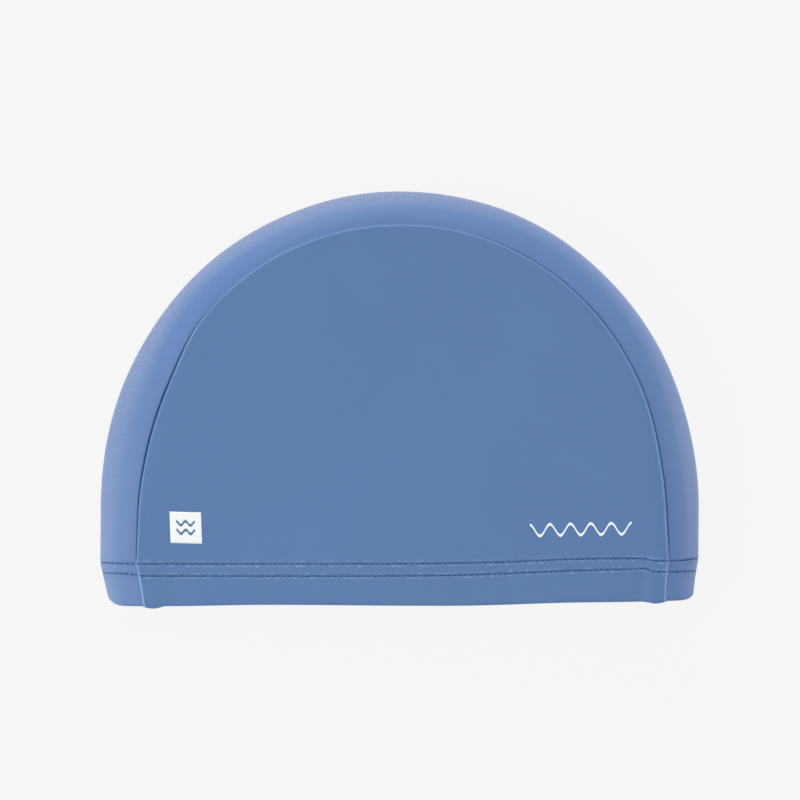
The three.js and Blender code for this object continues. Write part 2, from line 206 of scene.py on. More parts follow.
# Relief at a stitch. The groove: depth and reach beside the row. A needle hole: depth, and reach
# beside and along the row. The puffs: height, distance from the row and reach.
GROOVE = (0.2, 0.42)
NEEDLE_HOLE = (0.3, 0.5, 0.45)
PUFF = (0.15, 0.9, 0.35)
# Fine ripples of the cloth between the rows, and shallower ones below them.
RIPPLES = (0.05, 0.05)


def pucker(stitch, off_row):
    """Relief of one row of stitches: a groove under the thread, needle holes, and puffs beside it."""
    force = STITCH_FORCE[np.floor(stitch).astype(int) % len(STITCH_FORCE)]
    phase = stitch - np.floor(stitch)
    hole = np.minimum(phase, 1 - phase) * STITCH
    groove = -GROOVE[0] * np.exp(-((off_row / GROOVE[1]) ** 2))
    deep, beside_row, along_row = NEEDLE_HOLE
    dent = -deep * np.exp(-((off_row / beside_row) ** 2) - (hole / along_row) ** 2)
    high, away, reach = PUFF
    beside = np.exp(-(((np.abs(off_row) - away) / reach) ** 2))
    puff = high * force**3 * beside * np.sin(np.pi * phase) ** 2
    return groove + dent + puff


def hem_relief(stitch, x, height):
    """Relief that both rows of stitches and the elastic give to the hem, by height over the base line."""
    upper, lower = through(ROW_UPPER, x), through(ROW_LOWER, x)
    made = pucker(stitch, height - upper) + pucker(stitch + LOWER_SHIFT, height - lower)
    between = np.exp(-(((height - (upper + lower) / 2) / 1.7) ** 4))
    ripple = RIPPLES[0] * np.sin(2 * np.pi * stitch * 2.1 + 1.5 * np.sin(stitch / 3)) * between
    below = smoothstep(height, 1.0, 4.0) * (1 - smoothstep(height, 9.0, 11.5))
    return made + ripple + RIPPLES[1] * below * np.sin(stitch * 1.9 + 2 * np.sin(stitch / 7))


# Where the panel's colour takes a painted highlight, which stands in for the sheen of its rolled edge: on a
# line this far inside the seam, and this wide to each side. Beside the needle holes the puckers take
# painted highlights by these shares, in the upper and the lower row, and OTHER_SIDE gives the cloth above a
# row other strengths than the cloth below it.
HIGHLIGHT_AT = 0.55
HIGHLIGHT_REACH = 0.5
HIGHLIGHT_BY_ROW = (0.55, 0.2)
OTHER_SIDE = 911


def highlight_place(stitch, x, height, away):
    """How far cloth is from the painted highlight line along the seam, or as if it were, beside a needle
    hole whose pucker takes a painted highlight.
    """
    highlight_share = 0.0
    upper_share, lower_share = HIGHLIGHT_BY_ROW
    for row, shift, much in ((ROW_UPPER, 0, upper_share), (ROW_LOWER, LOWER_SHIFT, lower_share)):
        off_row = height - through(row, x)
        phase = stitch + shift - np.floor(stitch + shift)
        which = np.floor(stitch + shift).astype(int) + OTHER_SIDE * (off_row > 0)
        beside = np.exp(-(((np.abs(off_row) - 0.85) / 0.35) ** 2))
        force = STITCH_FORCE[which % len(STITCH_FORCE)] ** 4
        highlight_share = highlight_share + much * force * beside * np.sin(np.pi * phase)
    near = np.minimum(away, HIGHLIGHT_AT + HIGHLIGHT_REACH)
    return near + (HIGHLIGHT_AT - near) * np.clip(highlight_share, 0, 1)


def soft_swell(x, up, share):
    """Shallow waves of cloth that isn't pulled flat."""
    wave = (
        0.30 * np.sin(x / 19 + 1.3) * np.sin(up / 21 + 0.4)
        + 0.22 * np.sin(x / 31 - up / 24 + 2.1)
        + 0.12 * np.sin(x / 9.5 + up / 13 + 0.6)
    )
    return wave * (1 - share**3) * smoothstep(up, 10, 40)


FABRIC = 1.1
HEM_THICKNESS = 2.4
HEM_EDGE = HEM_THICKNESS / 2
# The mesh rows of the hem: round its folded edge, up to the stitches, and beside each row of them.
EDGE_TURNS = np.radians([8, 24, 40, 56, 73, 90])
HEM_STEPS = [2.2, 4.2, 6.4, 8.6]
ROW_OFFSETS = np.array([-1.6, -1.15, -0.8, -0.5, -0.25, 0, 0.25, 0.5, 0.8, 1.15, 1.6])
HEM_TOP = 2.3
LOWER_ROW = len(EDGE_TURNS) + len(HEM_STEPS) + len(ROW_OFFSETS) // 2
STITCH_ROWS = {"lower": LOWER_ROW, "upper": LOWER_ROW + len(ROW_OFFSETS) + 1}


def hem_rows(x, climb=0.0):
    """Heights on the pattern of the hem's mesh rows, which follow the rows of stitches."""
    lift = HEM_LIFT * through(HEM_LINE, x / HALF_LENGTH) + climb
    lower, upper = through(ROW_LOWER, x) - lift, through(ROW_UPPER, x) - lift
    fixed = [HEM_EDGE * (1 - math.cos(turn)) for turn in EDGE_TURNS] + HEM_STEPS
    rows = [np.full_like(x, up) for up in fixed]
    rows += [lower + off for off in ROW_OFFSETS]
    rows += [(lower + upper) / 2]
    rows += [upper + off for off in ROW_OFFSETS]
    rows += [upper + HEM_TOP]
    return np.array(rows)


def hem_wall(up, x):
    """Two layers and the elastic below the hem's raw edge, one layer above it."""
    raw = through(ROW_UPPER, x) - HEM_LIFT * through(HEM_LINE, x / HALF_LENGTH) + 1.0
    return HEM_THICKNESS + (FABRIC - HEM_THICKNESS) * smoothstep(up, raw - 0.25, raw + 0.3)


def hem_round(up):
    """How far each face draws in where the hem is folded."""
    left = np.clip(HEM_EDGE - up, 0, HEM_EDGE * 0.99)
    return HEM_EDGE - np.sqrt(HEM_EDGE**2 - left**2)


HEM_RIDGE = 0.5
ALLOWANCE_WIDTH = 7
# What the seam allowance does to the hem that is folded over it, by distance from the seam.
RIDGE_HEIGHT = [(0, 0.3), (0.35, 1), (0.9, 1), (1.4, 0)]
RIDGE_PUSH = [(0, 0.25), (0.3, 0.8), (0.6, 1), (0.85, 0.75), (1.2, 0)]
# The panel's edge: how far it slopes down to the strip, and how high it stands up before that and
# over what width, in millimetres.
PANEL_TURN = [
    (0, 0.8), (0.04, 0.85), (0.075, 0.85), (0.1, 0.45), (0.12, 0.08), (0.21, 0.06), (0.24, 0.7),
    (0.28, 1.0), (0.52, 1.0), (0.6, 0.45), (0.7, 0.1), (0.8, 0.04), (0.95, 0.05), (0.965, 0.45),
    (0.978, 0.8), (1, 0.8),
]
PANEL_LIP = [
    (0, 0.3), (0.04, 0.25), (0.07, 0.2), (0.11, 0), (0.21, 0), (0.25, 0.14), (0.3, 0.2), (0.52, 0.2),
    (0.6, 0.26), (0.7, 0.34), (0.8, 0.34), (0.92, 0.36), (1, 0.3),
]
LIP_FLANK = [(0, 1.2), (0.3, 1.8), (0.52, 1.8), (0.6, 0.9), (0.7, 0.55), (1, 0.5)]
EDGE_SLOPE = 1.3
# The mesh above the hem is a fan of lines from the panel's middle, at this height, to the seam, and
# the stitches shape only the mesh below it.
FAN_BASE = 21.0
STITCHED_BELOW = FAN_BASE - 0.1


def panel_faces(side, x, up, away, share, thick, along, stitch):
    """Outer and inner points of a side panel at places on its pattern."""
    near = away / ALLOWANCE_WIDTH
    wall = hem_wall(up, x)
    double = (wall - FABRIC) / (HEM_THICKNESS - FABRIC)
    ridge = HEM_RIDGE * through(RIDGE_HEIGHT, near) * double
    push = HEM_BUMP * through(RIDGE_PUSH, near) * np.maximum(0, 1 - up / (HEM_DEPTH / 2))
    face = panel_height(side, share, thick)
    height = up + hem_lift(x, up)
    relief = hem_relief(stitch, x, height) * smoothstep(away, 0.2, 0.8) * (up < STITCHED_BELOW)
    strained = 1 + 0.22 * np.sin(along * OUTLINE_LENGTH * 2 * np.pi / 1.9 + 2 * np.sin(along * 60))
    flank = np.where(away < 0.3, 0.5, through(LIP_FLANK, along))
    lip = through(PANEL_LIP, along) * strained * np.exp(-(((away - 0.3) / flank) ** 2))
    slope = through(PANEL_TURN, along) * strained * (np.maximum(0, EDGE_SLOPE - away) / EDGE_SLOPE) ** 2
    turned = rolled(away) * (1 - through(PANEL_TURN, along))
    lip = lip - slope * (1 - 0.2 * double)
    allowance = 0.1 * (1 - smoothstep(away, 6.4, 9.4)) * smoothstep(away, 1.2, 3.0) * (1 - double)
    swell = soft_swell(x, up, share) if side == "upper" else 0.0 * share
    round_in = hem_round(up)
    if side == "under":
        # It lies on the table, so nothing stands out of its face, and the ridge is on its inside.
        outer = face - np.minimum(relief, 0) + rolled(away) + round_in
        inner = face + ridge + 0.6 * rolled(away) + wall - round_in
    else:
        outer = face + ridge + swell + relief + lip + allowance - turned - round_in
        inner = face + ridge + swell + np.minimum(lip, 0) - 0.6 * turned - wall + round_in
    return points(x, up, outer, push), points(x, up, inner, push)


def new_piece(name, places, faces, cloth):
    """A smooth piece from places in millimetres. cloth says where each one lies on the cloth or the
    thread, and is kept as a point attribute for the materials."""
    mesh = bpy.data.meshes.new(name)
    mesh.from_pydata((np.asarray(places) * 0.001).tolist(), [], faces)
    mesh.polygons.foreach_set("use_smooth", np.ones(len(mesh.polygons), bool))
    kept = mesh.attributes.new("cloth", "FLOAT_VECTOR", "POINT")
    kept.data.foreach_set("vector", np.asarray(cloth, np.float32).ravel())
    mesh.update()
    piece = bpy.data.objects.new(name, mesh)
    bpy.context.scene.collection.objects.link(piece)
    return piece


def closed_sheet(name, outer, inner, faces, cloth):
    """A closed sheet: its outer face, its inner face and a rim where they end."""
    count = len(outer)
    edges = {(a, b) for face in faces for a, b in zip(face, face[1:] + face[:1])}
    rim = [(b, a, a + count, b + count) for a, b in edges if (b, a) not in edges]
    backs = [tuple(corner + count for corner in reversed(face)) for face in faces]
    all_faces = faces + backs + sorted(rim)
    return new_piece(name, np.vstack([outer, inner]), all_faces, np.vstack([cloth, cloth]))


def grid_faces(rows, columns):
    """Quads of a grid, counter-clockwise where rows run up and columns run to the right."""
    at = np.arange(rows * columns).reshape(rows, columns)
    quads = np.stack([at[:-1, :-1], at[:-1, 1:], at[1:, 1:], at[1:, :-1]], -1).reshape(-1, 4)
    return [tuple(quad) for quad in quads.tolist()]


def zip_faces(lower, lower_x, upper, upper_x):
    """Triangles between two lines of points that both run to the right."""
    made, a, b = [], 0, 0
    while a + 1 < len(lower) or b + 1 < len(upper):
        step_lower = b + 1 == len(upper) or (a + 1 < len(lower) and lower_x[a + 1] <= upper_x[b + 1])
        if step_lower:
            made.append((lower[a], lower[a + 1], upper[b]))
            a += 1
        else:
            made.append((lower[a], upper[b + 1], upper[b]))
            b += 1
    return made


# Clearance between the panel's and the strip's rolled edges: the seam gapes where it is strained.
SEAM_OPEN = [
    (0, -0.15), (0.03, -0.12), (0.05, 0.05), (0.075, 0.16), (0.11, 0.36), (0.16, 0.46), (0.22, 0.42),
    (0.26, 0.2), (0.3, -0.25), (0.52, -0.3), (0.6, 0.02), (0.72, 0.06), (0.94, 0.08), (0.965, -0.1),
    (1, -0.15),
]
# The panel's mesh: columns of the hem across its mean length, so many for a stitch from the first
# needle hole on, and above the hem lines from its middle to the seam. HEM_AT is the hem's place on
# the outline.
PANEL_HEM = 212.0
FIRST_STITCH = 1.7
PER_STITCH = 5
HEM_AT = 0.03
SPOKES = np.linspace(FAN_BASE / OUTLINE_LENGTH, 1 - FAN_BASE / OUTLINE_LENGTH, 241)
ROLL_STEPS = SEAM_ROLL * (1 - np.cos(np.radians([0, 20, 40, 60, 78])))
EVEN_RINGS_FROM = 16.5


def side_panel(side, name):
    """A side panel's mesh, and the lines of its hem that carry the two rows of stitches."""
    gap_front, gap_back = through(SEAM_OPEN, HEM_AT), through(SEAM_OPEN, 1 - HEM_AT)
    # The hem: columns are spaced by the stitch between the rolled edges.
    edge_steps = np.r_[ROLL_STEPS, SEAM_ROLL, 0.85, 1.25]
    stitched = PANEL_HEM - 2 * FIRST_STITCH
    count = PER_STITCH * round(stitched / STITCH)
    middle = np.linspace(FIRST_STITCH, PANEL_HEM - FIRST_STITCH, count + 1)
    columns = np.r_[edge_steps, middle, PANEL_HEM - edge_steps[::-1]] / PANEL_HEM
    stitch = (columns * PANEL_HEM - FIRST_STITCH) / stitched * (count / PER_STITCH)
    middle_up = np.full_like(columns, 10.0)
    front_x = seam_at(middle_up / OUTLINE_LENGTH, side, gap_front)[0]
    back_x = seam_at(1 - middle_up / OUTLINE_LENGTH, side, gap_back)[0]
    up = hem_rows(front_x + (back_x - front_x) * columns)
    front_x, _, front_thick = seam_at(up / OUTLINE_LENGTH, side, gap_front)
    back_x, _, back_thick = seam_at(1 - up / OUTLINE_LENGTH, side, gap_back)
    x = front_x + (back_x - front_x) * columns
    away = np.minimum(x - front_x, back_x - x)
    share = 1 - away / ((back_x - front_x) / 2)
    fronts = np.broadcast_to(columns < 0.5, up.shape)
    thick = np.where(fronts, front_thick, back_thick)
    along = np.where(fronts, up / OUTLINE_LENGTH, 1 - up / OUTLINE_LENGTH)
    stitches = np.broadcast_to(stitch, up.shape)
    outer, inner = panel_faces(side, x, up, away, share, thick, along, stitches)
    row_count, column_count = up.shape
    faces = grid_faces(row_count, column_count)
    # The third coordinate places the painted highlight: the distance from the seam, drawn in to the
    # highlight line beside the needle holes.
    cloth = np.stack([x, up, highlight_place(stitches, x, up + hem_lift(x, up), away)], -1)
    lines = {key: (outer[row], inner[row], stitch) for key, row in STITCH_ROWS.items()}

    # Above the hem: a fan of lines, with points close together where they come near the seam.
    seam_x, seam_up, seam_thick = seam_at(SPOKES, side, through(SEAM_OPEN, SPOKES))
    centre = np.array([(seam_x[0] + seam_x[-1]) / 2, FAN_BASE])
    length = np.hypot(seam_x - centre[0], seam_up - centre[1])
    near_seam = [0.75, 1.1, 1.5, 2.0, 2.8, 4.0, 5.4, 6.6, 7.5, 8.4, 9.4, 11, 13.5]
    near_seam = np.r_[ROLL_STEPS, SEAM_ROLL, near_seam]
    far = (length[:, None] - EVEN_RINGS_FROM) * np.linspace(0.08, 1, 27)[:-1]
    rings = np.hstack([far, length[:, None] - near_seam[::-1]])
    fan_share = rings / length[:, None]
    fan_x = centre[0] + (seam_x - centre[0])[:, None] * fan_share
    fan_up = centre[1] + (seam_up - centre[1])[:, None] * fan_share
    fan_away = length[:, None] - rings
    spread = np.broadcast_to(SPOKES[:, None], fan_x.shape)
    thicks = np.broadcast_to(seam_thick[:, None], fan_x.shape)
    fan = panel_faces(side, fan_x, fan_up, fan_away, fan_share, thicks, spread, 0 * fan_x)
    middle_at = (*centre, length[0], 0.0, CAP_THICKNESS, 0.5, 0.0)
    hub = panel_faces(side, *(np.array([value]) for value in middle_at))
    hub_index = row_count * column_count
    spoke_count, ring_count = fan_x.shape
    index = hub_index + 1 + np.arange(spoke_count * ring_count).reshape(spoke_count, ring_count)
    quads = np.stack([index[:-1, :-1], index[1:, :-1], index[1:, 1:], index[:-1, 1:]], -1).reshape(-1, 4)
    faces += [tuple(quad) for quad in quads.tolist()]
    faces += [(hub_index, int(b), int(a)) for a, b in zip(index[:-1, 0], index[1:, 0])]
    base = [*index[0, ::-1].tolist(), hub_index, *index[-1].tolist()]
    base_x = [*fan_x[0, ::-1], centre[0], *fan_x[-1]]
    top = list(range((row_count - 1) * column_count, row_count * column_count))
    faces += zip_faces(top, x[-1], base, base_x)
    all_outer = np.vstack([outer.reshape(-1, 3), hub[0], fan[0].reshape(-1, 3)])
    all_inner = np.vstack([inner.reshape(-1, 3), hub[1], fan[1].reshape(-1, 3)])
    # Above the hem there are no needle holes, so the painted highlight's place is the distance from the
    # seam, up to where the highlight ends.
    past_highlight = HIGHLIGHT_AT + HIGHLIGHT_REACH
    fan_cloth = np.stack([fan_x, fan_up, np.minimum(fan_away, past_highlight)], -1).reshape(-1, 3)
    all_cloth = np.vstack([cloth.reshape(-1, 3), [[*centre, past_highlight]], fan_cloth])
    if side == "under":
        faces = [tuple(reversed(face)) for face in faces]
    return closed_sheet(name, all_outer, all_inner, faces, all_cloth), lines


upper_panel, upper_lines = side_panel("upper", "upper_panel_cloth")
under_panel, under_lines = side_panel("under", "under_panel_cloth")


def put(tree, kind, inputs=None, **settings):
    """Adds a shader node. An input takes a value, or another node's socket to read from."""
    made = tree.nodes.new("ShaderNode" + kind)
    for name, value in settings.items():
        setattr(made, name, value)
    for name, value in (inputs or {}).items():
        if isinstance(value, bpy.types.NodeSocket):
            tree.links.new(value, made.inputs[name])
        else:
            made.inputs[name].default_value = value
    return made


def sum_of(tree, operation, *values):
    """A Math node's result."""
    return put(tree, "Math", dict(enumerate(values)), operation=operation).outputs[0]


def noise(tree, place, scale, detail, roughness=0.5):
    """A Noise Texture's values at places."""
    inputs = {"Vector": place, "Scale": scale, "Detail": detail, "Roughness": roughness}
    return put(tree, "TexNoise", inputs).outputs["Fac"]


def mixed(tree, share, one, other):
    """A colour between two, each a socket or red, green and blue."""
    one, other = (end if isinstance(end, bpy.types.NodeSocket) else (*end, 1) for end in (one, other))
    return put(tree, "Mix", {0: share, 6: one, 7: other}, data_type="RGBA").outputs[2]


def stretch_knit():
    """Rows of knitted loops: wales across the first coordinate, courses along the second."""
    tree = bpy.data.node_groups.new("stretch knit", "ShaderNodeTree")
    tree.interface.new_socket("Cloth", in_out="INPUT", socket_type="NodeSocketVector")
    for name, value in (("Wale", 1.0), ("Course", 1.0), ("Slant", 1.0), ("Unevenness", 0.1)):
        tree.interface.new_socket(name, in_out="INPUT", socket_type="NodeSocketFloat").default_value = value
    for name in ("Height", "Gap"):
        tree.interface.new_socket(name, in_out="OUTPUT", socket_type="NodeSocketFloat")
    given = tree.nodes.new("NodeGroupInput").outputs
    place = put(tree, "SeparateXYZ", {0: given["Cloth"]}).outputs
    drift = noise(tree, given["Cloth"], 0.35, 2.0)
    sway = sum_of(tree, "MULTIPLY", sum_of(tree, "SUBTRACT", drift, 0.5), given["Unevenness"])
    wale = sum_of(tree, "ADD", sum_of(tree, "DIVIDE", place[0], given["Wale"]), sway)
    from_middle = sum_of(tree, "ABSOLUTE", sum_of(tree, "SUBTRACT", sum_of(tree, "FRACT", wale), 0.5))
    course = sum_of(tree, "ADD", sum_of(tree, "DIVIDE", place[1], given["Course"]), sway)
    slanted = sum_of(tree, "ADD", course, sum_of(tree, "MULTIPLY", from_middle, given["Slant"]))
    swing = sum_of(tree, "MULTIPLY", sum_of(tree, "SUBTRACT", sum_of(tree, "FRACT", slanted), 0.5), 2.0)
    loop = sum_of(tree, "SUBTRACT", 1.0, sum_of(tree, "MULTIPLY", swing, swing))
    edge = sum_of(tree, "POWER", sum_of(tree, "MULTIPLY", from_middle, 2.0), 2.5)
    rib = sum_of(tree, "SUBTRACT", 1.0, edge)
    height = sum_of(tree, "MULTIPLY", rib, sum_of(tree, "ADD", sum_of(tree, "MULTIPLY", loop, 0.45), 0.55))
    gap = sum_of(tree, "SUBTRACT", 1.0, height)
    out = tree.nodes.new("NodeGroupOutput").inputs
    tree.links.new(height, out["Height"])
    tree.links.new(gap, out["Gap"])
    return tree


KNIT = stretch_knit()


def fold_sheen_and_ribs(tree, place, stretch):
    """Near the strip's fold: a painted sheen highlight in its colour, strongest towards the crown's front,
    and how far its ribs are pulled open, as seen in their relief and gap shade.
    """
    low, high = stretch["away"]
    near_fold = put(tree, "MapRange", {0: place[2], 1: low, 2: high}).outputs[0]
    from_most = sum_of(tree, "SUBTRACT", place[0], stretch["most_at"])
    most = sum_of(tree, "COSINE", sum_of(tree, "DIVIDE", from_most, stretch["over"]))
    highlight_share = sum_of(tree, "MULTIPLY", near_fold, sum_of(tree, "MAXIMUM", most, 0.5))
    opened = sum_of(tree, "MULTIPLY", near_fold, sum_of(tree, "MAXIMUM", most, 0.12))
    return highlight_share, sum_of(tree, "ADD", 0.06, sum_of(tree, "MULTIPLY", opened, 0.94))


def edge_highlight(tree, place, fibres, edge):
    """How much painted highlight the panel's edge takes: on a line along the seam, most of all in the hem.
    """
    from_line = sum_of(tree, "ABSOLUTE", sum_of(tree, "SUBTRACT", place[2], edge["away"]))
    full, none = edge["reach"]
    line = put(tree, "MapRange", {0: from_line, 1: none, 2: full}).outputs[0]
    above, inside = edge["hem"]
    in_hem = {0: place[1], 1: above, 2: inside, 3: edge["above"], 4: 1.0}
    in_hem = put(tree, "MapRange", in_hem).outputs[0]
    uneven = put(tree, "MapRange", {0: fibres, 1: 0.3, 2: 0.7, 3: 0.6, 4: 1.3}).outputs[0]
    return sum_of(tree, "MULTIPLY", sum_of(tree, "MULTIPLY", line, in_hem), uneven)


def knit_material(name, base, light, loops, relief, gap_share, roughness, sheen, stretch=None, edge=None):
    """A knitted cloth: loops as relief and as painted shade in their gaps, and cloudy variation of its dye.
    stretch says where the strip's ribs are pulled open near its fold and its colour takes a painted sheen
    highlight there, edge where the panel's colour takes a painted highlight along its seam and beside its
    stitches, and each how pale it gets there."""
    material = bpy.data.materials.new(name)
    material.use_nodes = True
    tree = material.node_tree
    shader = tree.nodes["Principled BSDF"]
    cloth = put(tree, "Attribute", attribute_name="cloth").outputs["Vector"]
    place = put(tree, "SeparateXYZ", {0: cloth}).outputs
    knit = put(tree, "Group", {"Cloth": cloth, **loops}, node_tree=KNIT).outputs
    fibres = noise(tree, cloth, 1.7, 4.0, 0.7)
    clouds = sum_of(tree, "MULTIPLY", noise(tree, cloth, 0.028, 3.0, 0.55), 0.7)
    amount = sum_of(tree, "ADD", clouds, sum_of(tree, "MULTIPLY", fibres, 0.3))
    dye_and_highlight = mixed(tree, amount, base, light)
    # Painted shade in the gaps between the knitted loops.
    shade = sum_of(tree, "MULTIPLY", knit["Gap"], gap_share)
    height = knit["Height"]
    if stretch:
        highlight_share, strength = fold_sheen_and_ribs(tree, place, stretch)
        dye_and_highlight = mixed(tree, highlight_share, dye_and_highlight, stretch["pale"])
        shade = sum_of(tree, "MULTIPLY", shade, strength)
        height = sum_of(tree, "MULTIPLY", height, strength)
    if edge:
        dye_and_highlight = mixed(tree, edge_highlight(tree, place, fibres, edge), dye_and_highlight, edge["pale"])
    gap_shade_colour = tuple(value * 0.55 for value in base)
    tree.links.new(mixed(tree, shade, dye_and_highlight, gap_shade_colour), shader.inputs["Base Color"])
    rough = sum_of(tree, "ADD", roughness - 0.06, sum_of(tree, "MULTIPLY", fibres, 0.12))
    tree.links.new(rough, shader.inputs["Roughness"])
    height = sum_of(tree, "ADD", height, sum_of(tree, "MULTIPLY", fibres, 0.35))
    bump = put(tree, "Bump", {"Height": height, "Strength": relief, "Distance": 0.0002})
    tree.links.new(bump.outputs["Normal"], shader.inputs["Normal"])
    shader.inputs["Sheen Weight"].default_value = sheen
    shader.inputs["Sheen Roughness"].default_value = 0.35
    shader.inputs["Sheen Tint"].default_value = (1, 1, 1, 1)
    shader.inputs["Specular IOR Level"].default_value = 0.25
    return material


PANEL_LOOPS = {"Wale": 0.5, "Course": 0.42, "Slant": 1.1, "Unevenness": 0.25}
panel_cloth = knit_material(
    "smooth coated knit",
    base=(0.09, 0.181, 0.378),
    light=(0.104, 0.204, 0.414),
    loops=PANEL_LOOPS,
    relief=0.25,
    gap_share=0.16,
    roughness=0.6,
    sheen=0.2,
    # edge: a painted highlight along the seam's rolled edge and on the puckers beside the hem's needle
    # holes.
    edge={
        "away": HIGHLIGHT_AT, "reach": (0.12, HIGHLIGHT_REACH), "hem": (17.0, 13.0), "above": 0.3,
        "pale": (0.23, 0.375, 0.63),
    },
)
# The cut is a D with 18 mm more for the hem and 7 mm more for the seam than shows.
for panel, node, held, lies_on in (
    (upper_panel, "upper_side_panel", "stretched", ["centre_strip_cloth"]),
    (under_panel, "under_side_panel", "laid", ["table_top"]),
):
    panel.data.materials.append(panel_cloth)
    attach(panel, "root")
    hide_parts(node)


# Centre strip: one long band of the same stretch knit, with the ribs across it. It runs from the
# front hem over the crown to the back hem, is sewn to both panels, and is folded along its middle.
FOLD_HEIGHT = 9.9
# The section's normal turns from upright, at the seam, to its full tilt over this distance.
SEAM_EASE = 2.4
# How far the hem's corner rises at the fold, at the front and at the back, and how tight it is.
HEM_CORNER = (2.8, 1.5)
CORNER_CURVE = 8
# How steeply the strip leaves the under seam and, by share of the outline, the upper one, in degrees.
UNDER_SLOPE = 12
UPPER_SLOPE = [
    (0, 33), (0.06, 32), (0.15, 33), (0.22, 36), (0.28, 40), (0.36, 37), (0.5, 33), (0.75, 34), (1, 36),
]
# How deep the strip's edge turns down into the upper seam, as a share of SEAM_ROLL, and how far the
# cloth dips beside it.
STRIP_TURN = [
    (0, 0.1), (0.03, 0.1), (0.05, 0.4), (0.085, 0.75), (0.11, 1.1), (0.22, 1.2), (0.26, 0.6),
    (0.3, 0.05), (0.52, 0.05), (0.6, 0.5), (0.72, 1), (0.85, 1.15), (0.94, 1.1), (0.97, 0.4), (1, 0.1),
]
STRIP_DIP = [(0, 0.1), (0.1, 0.1), (0.22, 0.1), (0.28, 0.35), (0.52, 0.35), (0.6, 0.2), (1, 0.1)]
# The place on the outline whose section spaces the stitches, and the first place past the roll.
SPACED_AT = 0.02
PAST_ROLL = 1e-6
STRIP_ROWS = 285


def strip_half(at, side, place, roll):
    """Half of the strip's section: distance out from the seam, height and tilt of its normal.
    place runs from the rolled edge (0) to the fold (1), and roll gives the first steps out."""
    reach = at[side]
    start = np.radians(UNDER_SLOPE if side == "under" else through(UPPER_SLOPE, at["along"]))
    height = FOLD_HEIGHT if side == "under" else at["thick"] - FOLD_HEIGHT
    wide = reach / (1 - np.sin(start))
    tall = height / np.cos(start)
    past = np.arcsin(np.sin(start) + SEAM_ROLL / wide)
    turn = np.where(
        place > 0,
        past + (np.pi / 2 - past) * place,
        np.arcsin(np.sin(start) + roll / wide),
    )
    away = wide * (np.sin(turn) - np.sin(start))
    slope = np.arctan2(tall * np.sin(turn), wide * np.cos(turn))
    lean = slope * smoothstep(away, 0, SEAM_EASE)
    return away, tall * np.cos(turn), lean


def even_places(side, count):
    """Places along half a section that lie at even distances on the cloth, at the hem."""
    at = station(np.array([SPACED_AT]))
    fine = np.linspace(PAST_ROLL, 1, 400)
    away, rise, _ = strip_half(at, side, fine, 0 * fine)
    run = np.r_[0, np.cumsum(np.hypot(np.diff(away), np.diff(rise)))]
    return np.interp(np.linspace(0, run[-1], count + 1), run, fine), run[-1]


